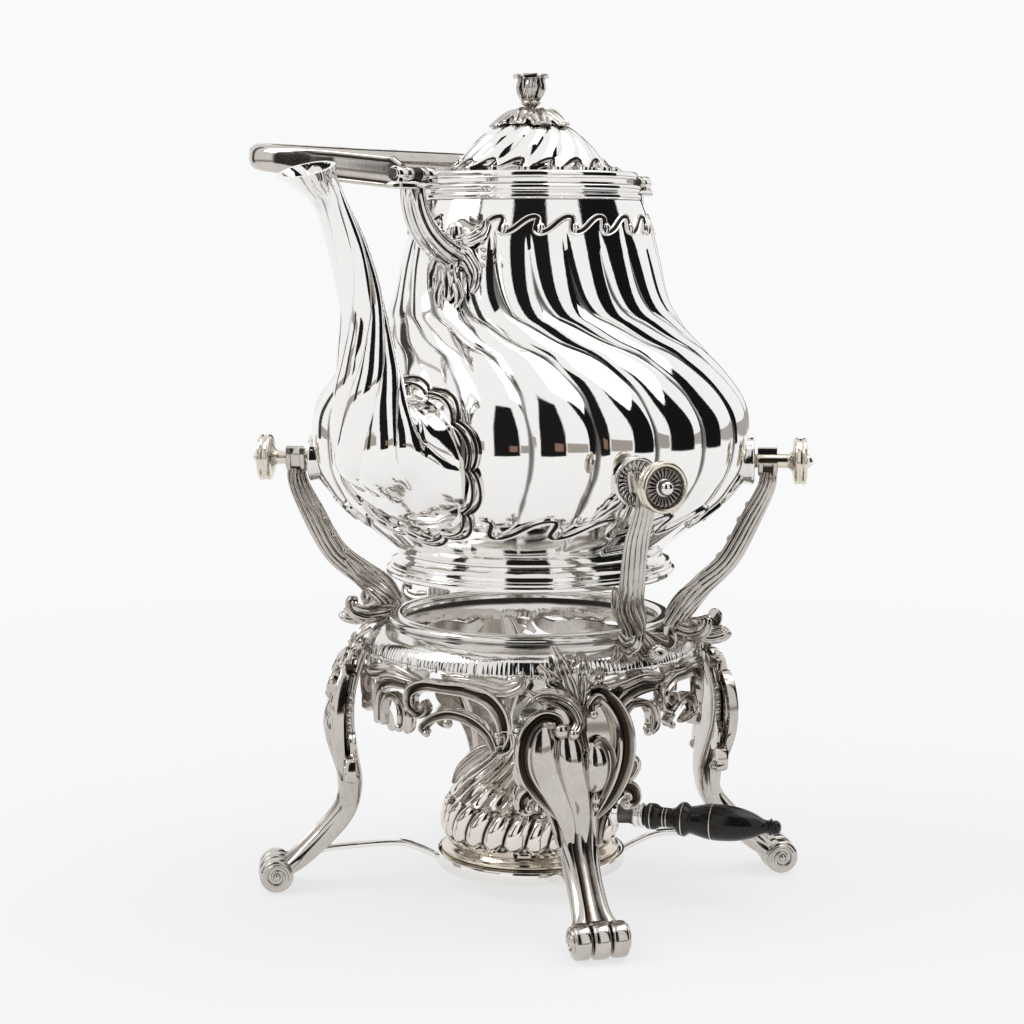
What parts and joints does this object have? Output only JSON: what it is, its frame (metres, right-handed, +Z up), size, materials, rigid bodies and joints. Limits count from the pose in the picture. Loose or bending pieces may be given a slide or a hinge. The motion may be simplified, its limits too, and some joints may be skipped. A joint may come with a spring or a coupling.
{
  "type": "kettle on stand with spirit burner",
  "caption": "Lobed silver kettle with swing handle and hinged lid, hung by four pins in the arms of a scroll-footed stand over a spirit burner.",
  "frame": {"origin": "point on the table under the common upright axis of kettle, stand and burner", "axes": "+Z up, +X towards the spout, +Y towards the burner's handle"},
  "size_m": [0.2773, 0.2349, 0.3801],
  "materials": {
    "silver": "polished, with dark oxide left in the recesses",
    "gilt_silver": "polished, with worn gilding",
    "ebony": "turned and waxed",
    "cotton": "woven"
  },
  "bodies": {
    "stand": {"stand_ring": "silver", "arm_front_left": "silver", "arm_front_right": "silver", "arm_rear_left": "silver", "arm_rear_right": "silver", "leg_front_left": "silver", "leg_front_right": "silver", "leg_rear_left": "silver", "leg_rear_right": "silver", "shield_front_left": "silver", "shield_front_right": "silver", "shield_rear_left": "silver", "shield_rear_right": "silver", "stay_front_left": "silver", "stay_front_right": "silver", "stay_rear_left": "silver", "stay_rear_right": "silver", "apron_front": "silver", "apron_left": "silver", "apron_rear": "silver", "apron_right": "silver", "burner_ring": "silver"},
    "kettle": {"kettle_shell": "silver", "foot_ring": "silver", "mouth_rim": "silver", "spout": "silver", "spout_border": "silver", "boss_front_left": "silver", "boss_front_right": "silver", "boss_rear_left": "silver", "boss_rear_right": "silver", "pin_front_left": "gilt_silver", "pin_front_right": "gilt_silver", "pin_rear_left": "gilt_silver", "pin_rear_right": "gilt_silver", "pin_buttons": "gilt_silver", "front_lug": "silver", "rear_lug": "silver", "handle_hinge_pins": "silver", "lid_hinge_pin": "silver"},
    "lid": {"lid_bezel": "silver", "lid_dome": "silver", "finial_leaves": "silver", "finial_bud": "silver", "finial_screw": "silver"},
    "handle": {"handle_bow": "silver"},
    "burner": {"burner_base": "silver", "burner_bowl": "silver", "burner_neck": "silver", "grip_socket": "silver", "burner_grip": "ebony"},
    "wick_holder": {"wick_holder": "silver", "wick": "cotton"}
  },
  "joints": [
    {"name": "kettle_lift", "type": "slide", "parent": "stand", "child": "kettle", "axis": [0, 0, 1], "range_m": [0, 0.08]},
    {"name": "lid_hinge", "type": "hinge", "parent": "kettle", "child": "lid", "pos_m": [-0.0547, 0, 0.331], "axis": [0, -1, 0], "range_deg": [0, 95]},
    {"name": "handle_swing", "type": "hinge", "parent": "kettle", "child": "handle", "pos_m": [0, 0, 0.3322], "axis": [-1, 0, 0], "range_deg": [0, 168]},
    {"name": "burner_lift", "type": "slide", "parent": "stand", "child": "burner", "axis": [0, 0, 1], "range_m": [0, 0.035]},
    {"name": "wick_lift", "type": "slide", "parent": "burner", "child": "wick_holder", "axis": [0, 0, 1], "range_m": [0, 0.02]}
  ]
}
